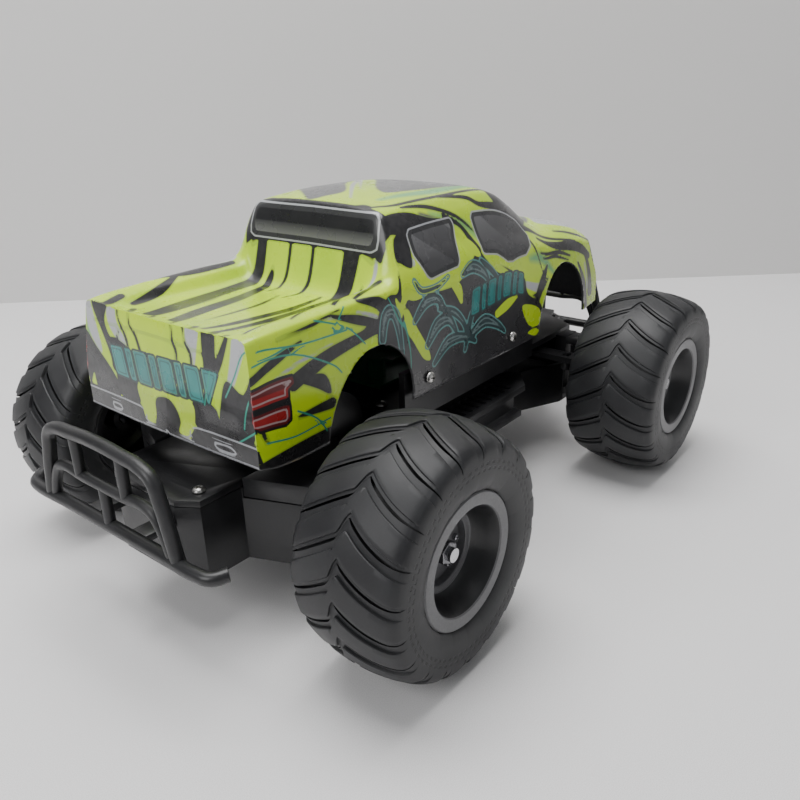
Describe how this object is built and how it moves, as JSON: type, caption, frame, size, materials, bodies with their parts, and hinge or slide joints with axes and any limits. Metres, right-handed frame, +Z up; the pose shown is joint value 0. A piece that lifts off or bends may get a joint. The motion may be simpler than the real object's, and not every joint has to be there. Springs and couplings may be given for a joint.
{
  "type": "remote control car",
  "caption": "Toy pickup truck with a thin printed body, tubular bumpers, ribbed side steps, big lugged tyres, a geared rear axle and steered front wheels.",
  "frame": {"origin": "on the ground under the middle of the truck, at the middle of its length and width", "axes": "+X towards the front bumper, +Y to the truck's left, +Z up"},
  "size_m": [0.3108, 0.223, 0.1465],
  "materials": {
    "printed_shell": "glossy clear lacquer over a printed lime and charcoal pattern",
    "chassis_plastic": "satin moulded black plastic",
    "bumper_plastic": "satin moulded black plastic",
    "step_plastic": "ribbed moulded black plastic",
    "tyre": "soft matte moulded rubber",
    "rim": "moulded plastic, pale grey outer ring and black dish",
    "wheel_nut": "dark plated hexagonal nut",
    "screw_steel": "zinc plated",
    "axle_steel": "ground steel rod",
    "motor_can": "plain drawn can",
    "gear_nylon": "natural white nylon",
    "brass": "turned brass",
    "battery_wrap": "shrink wrap over round cells",
    "circuit_board": "green lacquered board"
  },
  "bodies": {
    "body": {"body_shell": "printed_shell", "body_screw_front_left": "screw_steel", "body_screw_front_right": "screw_steel", "body_screw_rear_left": "screw_steel", "body_screw_rear_right": "screw_steel", "chassis_tub": "chassis_plastic", "chassis_deck": "chassis_plastic", "deck_screw_1": "screw_steel", "deck_screw_2": "screw_steel", "deck_screw_3": "screw_steel", "deck_screw_4": "screw_steel", "rear_cover": "chassis_plastic", "rear_cover_screw_left": "screw_steel", "rear_cover_screw_right": "screw_steel", "axle_cover_left": "chassis_plastic", "axle_cover_right": "chassis_plastic", "gearbox_cover": "chassis_plastic", "motor_mount": "chassis_plastic", "gear_plate": "chassis_plastic", "gear_shaft": "axle_steel", "drive_motor": "motor_can", "rear_bush_left": "brass", "rear_bush_right": "brass", "battery_pack": "battery_wrap", "battery_door": "chassis_plastic", "circuit_board": "circuit_board", "steering_servo": "chassis_plastic", "kingpin_left": "screw_steel", "kingpin_right": "screw_steel", "side_step_left": "step_plastic", "side_step_right": "step_plastic", "front_bumper": "bumper_plastic", "rear_bumper": "bumper_plastic"},
    "rear_axle": {"rear_axle": "axle_steel", "axle_gear": "gear_nylon", "rear_rim_left": "rim", "rear_rim_right": "rim", "rear_tyre_left": "tyre", "rear_tyre_right": "tyre", "rear_wheel_nut_left": "wheel_nut", "rear_wheel_nut_right": "wheel_nut"},
    "reduction_gear": {"reduction_gear": "gear_nylon"},
    "motor_pinion": {"motor_pinion": "brass"},
    "knuckle_left": {"knuckle_left": "chassis_plastic", "stub_axle_left": "axle_steel", "front_wheel_nut_left": "wheel_nut"},
    "knuckle_right": {"knuckle_right": "chassis_plastic", "stub_axle_right": "axle_steel", "front_wheel_nut_right": "wheel_nut"},
    "front_wheel_left": {"front_rim_left": "rim", "front_tyre_left": "tyre"},
    "front_wheel_right": {"front_rim_right": "rim", "front_tyre_right": "tyre"},
    "tie_rod": {"tie_rod": "chassis_plastic"},
    "servo_horn": {"servo_horn": "chassis_plastic"},
    "power_switch": {"power_switch": "chassis_plastic"}
  },
  "joints": [
    {"name": "rear_axle_spin", "type": "hinge", "parent": "body", "child": "rear_axle", "pos_m": [-0.0925, 0, 0.0445], "axis": [0, 1, 0], "continuous": true},
    {"name": "reduction_gear_spin", "type": "hinge", "parent": "body", "child": "reduction_gear", "pos_m": [-0.077, 0, 0.0512], "axis": [0, 1, 0], "continuous": true},
    {"name": "motor_spin", "type": "hinge", "parent": "body", "child": "motor_pinion", "pos_m": [-0.063, 0, 0.0578], "axis": [0, 1, 0], "continuous": true},
    {"name": "steer_left", "type": "hinge", "parent": "body", "child": "knuckle_left", "pos_m": [0.0925, 0.057, 0.0445], "axis": [0, 0, 1], "range_deg": [-22, 22]},
    {"name": "steer_right", "type": "hinge", "parent": "body", "child": "knuckle_right", "pos_m": [0.0925, -0.057, 0.0445], "axis": [0, 0, 1], "range_deg": [-22, 22]},
    {"name": "front_wheel_left_spin", "type": "hinge", "parent": "knuckle_left", "child": "front_wheel_left", "pos_m": [0.0925, 0.0895, 0.0445], "axis": [0, 1, 0], "continuous": true},
    {"name": "front_wheel_right_spin", "type": "hinge", "parent": "knuckle_right", "child": "front_wheel_right", "pos_m": [0.0925, -0.0895, 0.0445], "axis": [0, 1, 0], "continuous": true},
    {"name": "tie_rod_slide", "type": "slide", "parent": "body", "child": "tie_rod", "axis": [0, 1, 0], "range_m": [-0.0069, 0.0069]},
    {"name": "servo_horn_turn", "type": "hinge", "parent": "body", "child": "servo_horn", "pos_m": [0.0565, 0, 0.0488], "axis": [0, 0, 1], "range_deg": [-22, 22]},
    {"name": "power_switch_slide", "type": "slide", "parent": "body", "child": "power_switch", "axis": [1, 0, 0], "range_m": [0, 0.004]}
  ],
  "couplings": [
    {"joint": "reduction_gear_spin", "follows": "rear_axle_spin", "ratio": -3},
    {"joint": "motor_spin", "follows": "rear_axle_spin", "ratio": 10.2},
    {"joint": "steer_right", "follows": "steer_left", "ratio": 1},
    {"joint": "tie_rod_slide", "follows": "steer_left", "m_per_rad": -0.0177},
    {"joint": "servo_horn_turn", "follows": "steer_left", "ratio": -1}
  ]
}
